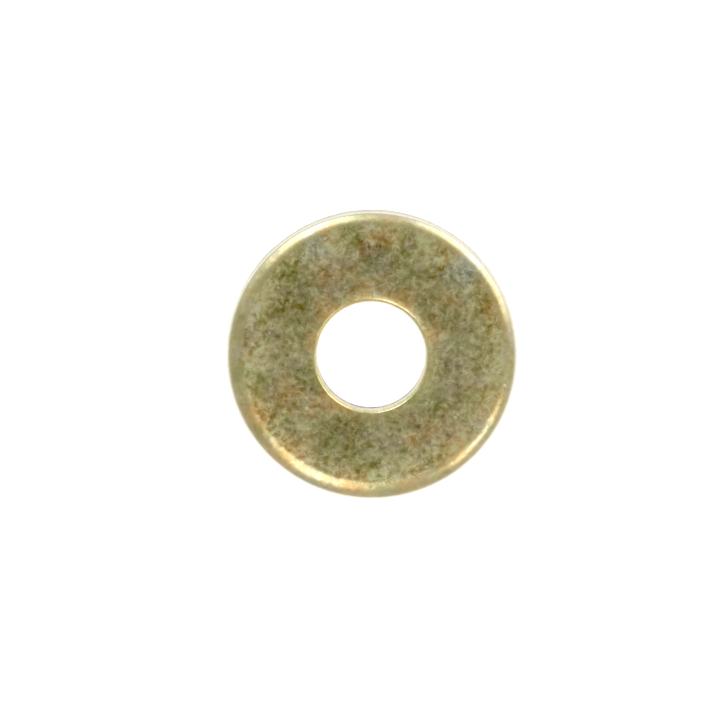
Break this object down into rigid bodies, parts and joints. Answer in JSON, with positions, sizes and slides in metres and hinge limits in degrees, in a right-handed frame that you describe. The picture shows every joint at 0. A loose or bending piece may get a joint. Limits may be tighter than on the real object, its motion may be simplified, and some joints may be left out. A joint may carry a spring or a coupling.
{
  "type": "flat washer",
  "caption": "Wide flat washer stamped from steel sheet, with a clear bolt hole, a softly rolled rim and a rolled hole edge; it spreads the load of a bolt head or nut.",
  "frame": {"origin": "centre of the bolt hole, on the underside that the washer lies on", "axes": "+Z along the hole's axis, towards the face with the rolled edges; X and Y lie in the underside"},
  "size_m": [0.024, 0.024, 0.002],
  "materials": {
    "yellow_zinc": "tumbled steel with yellow-passivated zinc plating, satin, mottled from olive to amber"
  },
  "bodies": {
    "root": {"washer": "yellow_zinc"}
  },
  "joints": []
}
